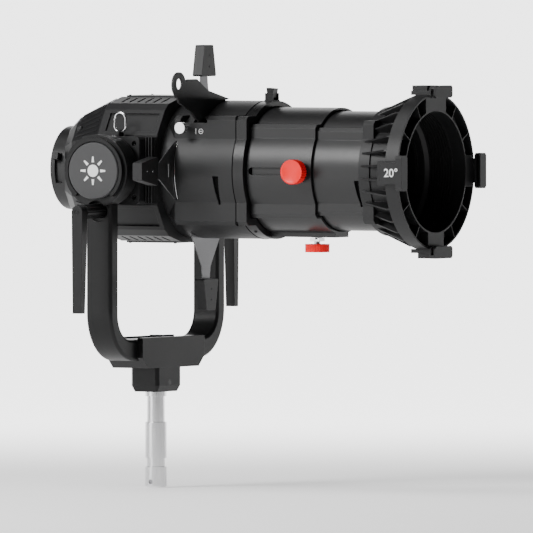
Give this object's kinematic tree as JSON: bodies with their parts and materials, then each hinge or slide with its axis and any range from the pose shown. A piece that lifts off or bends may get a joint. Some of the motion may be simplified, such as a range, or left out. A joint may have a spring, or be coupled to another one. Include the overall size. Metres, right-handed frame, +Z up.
{
  "type": "ellipsoidal spotlight",
  "caption": "Profile spotlight optic with shutters, a focusing lens tube, a front frame hood and a tilting yoke on a stand spigot; its rear collar takes a lamp head.",
  "frame": {"origin": "on the stand spigot's axis, in the middle of its main land", "axes": "+Z up along the spigot, the lens looks along -Y, and the tilt axis lies along X 354.5 mm above the origin"},
  "size_m": [0.406, 0.56, 0.5785],
  "materials": {
    "cast_black": "satin black coat on cast aluminium",
    "frame_black": "fine satin black coat",
    "cap_black": "matt dark grey plastic",
    "tube_black": "satin black anodised",
    "hood_black": "satin black cast",
    "grip_black": "moulded heat-resistant plastic",
    "lever_black": "satin black",
    "red_plastic": "bright red moulded plastic",
    "bright_steel": "bright plated steel",
    "blade_steel": "brushed stainless steel",
    "dark_steel": "black oxide steel",
    "bearing_plastic": "black acetal",
    "bronze": "sintered bronze",
    "lens_glass": "clear coated glass",
    "inner_black": "dull optical black"
  },
  "bodies": {
    "yoke": {"yoke_frame": "frame_black", "yoke_bridge": "frame_black", "spigot_receiver": "frame_black", "spigot_grub_screws": "dark_steel", "stand_spigot": "bright_steel", "yoke_bolt": "dark_steel", "arm_covers": "frame_black", "arm_caps": "cap_black", "arm_bushes": "bronze", "friction_washers": "bearing_plastic", "lever_studs": "dark_steel"},
    "head": {"condenser_housing": "cast_black", "vent_plates": "dark_steel", "plate_screws": "dark_steel", "side_plates": "cast_black", "tilt_axles": "dark_steel", "fin_blocks": "cast_black", "rear_collar": "tube_black", "condenser_cell": "inner_black", "condenser_lenses": "lens_glass", "ring_eye": "dark_steel", "gate_housing": "cast_black", "gate_plates": "blade_steel", "gate_posts": "blade_steel", "pattern_guide": "blade_steel", "holder_screw": "bright_steel", "clamp_ring": "cast_black", "latch_base": "cast_black", "outer_tube": "tube_black", "focus_rail": "tube_black", "lock_stud": "bright_steel"},
    "lens_tube": {"inner_tube": "tube_black", "focus_stud": "bright_steel", "beam_lenses": "lens_glass", "lens_rings": "inner_black", "hood_base": "hood_black", "hood_ring": "hood_black", "holders": "hood_black", "latch_foot": "hood_black"},
    "tilt_lever_near": {"lever_hub_near": "lever_black", "lever_bar_near": "lever_black"},
    "tilt_lever_far": {"lever_hub_far": "lever_black", "lever_bar_far": "lever_black"},
    "focus_knob": {"focus_knob": "red_plastic"},
    "lock_knob": {"lock_knob": "red_plastic"},
    "pattern_holder": {"pattern_holder": "grip_black"},
    "pattern_lock_knob": {"pattern_lock_knob": "bright_steel"},
    "lamp_lock": {"lamp_lock": "lever_black"},
    "lifting_ring": {"lifting_ring": "bright_steel"},
    "lens_latch": {"lens_latch": "grip_black"},
    "frame_latch": {"frame_latch": "hood_black"},
    "shutter_top": {"shutter_blade_top": "blade_steel", "shutter_grip_top": "grip_black"},
    "shutter_bottom": {"shutter_blade_bottom": "blade_steel", "shutter_grip_bottom": "grip_black"},
    "shutter_near": {"shutter_blade_near": "blade_steel", "shutter_grip_near": "grip_black"},
    "shutter_far": {"shutter_blade_far": "blade_steel", "shutter_grip_far": "grip_black"}
  },
  "joints": [
    {"name": "head_tilt", "type": "hinge", "parent": "yoke", "child": "head", "pos_m": [0, 0, 0.3545], "axis": [1, 0, 0], "range_deg": [-90, 55]},
    {"name": "tilt_lever_near_turn", "type": "hinge", "parent": "yoke", "child": "tilt_lever_near", "pos_m": [-0.165, 0, 0.3018], "axis": [1, 0, 0], "range_deg": [-120, 120]},
    {"name": "tilt_lever_far_turn", "type": "hinge", "parent": "yoke", "child": "tilt_lever_far", "pos_m": [0.165, 0, 0.3018], "axis": [1, 0, 0], "range_deg": [-120, 120]},
    {"name": "focus_slide", "type": "slide", "parent": "head", "child": "lens_tube", "axis": [0, 1, 0], "range_m": [0, 0.06]},
    {"name": "focus_knob_turn", "type": "hinge", "parent": "lens_tube", "child": "focus_knob", "pos_m": [-0.095, -0.2616, 0.3545], "axis": [1, 0, 0], "range_deg": [-180, 180]},
    {"name": "lock_knob_turn", "type": "hinge", "parent": "head", "child": "lock_knob", "pos_m": [0, -0.243, 0.2545], "axis": [0, 0, 1], "range_deg": [-180, 180]},
    {"name": "pattern_holder_lift", "type": "slide", "parent": "head", "child": "pattern_holder", "axis": [-0.5, 0, 0.866], "range_m": [0, 0.12]},
    {"name": "pattern_lock_knob_turn", "type": "hinge", "parent": "head", "child": "pattern_lock_knob", "pos_m": [-0.095, -0.094, 0.41], "axis": [1, 0, 0], "range_deg": [-180, 180]},
    {"name": "lamp_lock_swing", "type": "hinge", "parent": "head", "child": "lamp_lock", "pos_m": [0, 0.1165, 0.3545], "axis": [0, 1, 0], "range_deg": [-30, 0]},
    {"name": "lifting_ring_swing", "type": "hinge", "parent": "head", "child": "lifting_ring", "pos_m": [-0.107, -0.009, 0.404], "axis": [0, 1, 0], "range_deg": [-35, 35]},
    {"name": "lens_latch_press", "type": "hinge", "parent": "head", "child": "lens_latch", "pos_m": [0, -0.175, 0.4505], "axis": [1, 0, 0], "range_deg": [0, 20], "stiffness_Nm_per_rad": 0.02, "springref_deg": -17.19},
    {"name": "frame_latch_lift", "type": "hinge", "parent": "lens_tube", "child": "frame_latch", "pos_m": [0, -0.4205, 0.4625], "axis": [1, 0, 0], "range_deg": [-80, 0], "stiffness_Nm_per_rad": 0.03, "springref_deg": 34.38},
    {"name": "shutter_top_slide", "type": "slide", "parent": "head", "child": "shutter_top", "axis": [0, 0, 1], "range_m": [-0.013, 0.024]},
    {"name": "shutter_bottom_slide", "type": "slide", "parent": "head", "child": "shutter_bottom", "axis": [0, 0, -1], "range_m": [-0.037, 0]},
    {"name": "shutter_near_slide", "type": "slide", "parent": "head", "child": "shutter_near", "axis": [-1, 0, 0], "range_m": [-0.037, 0]},
    {"name": "shutter_far_slide", "type": "slide", "parent": "head", "child": "shutter_far", "axis": [1, 0, 0], "range_m": [-0.037, 0]}
  ]
}
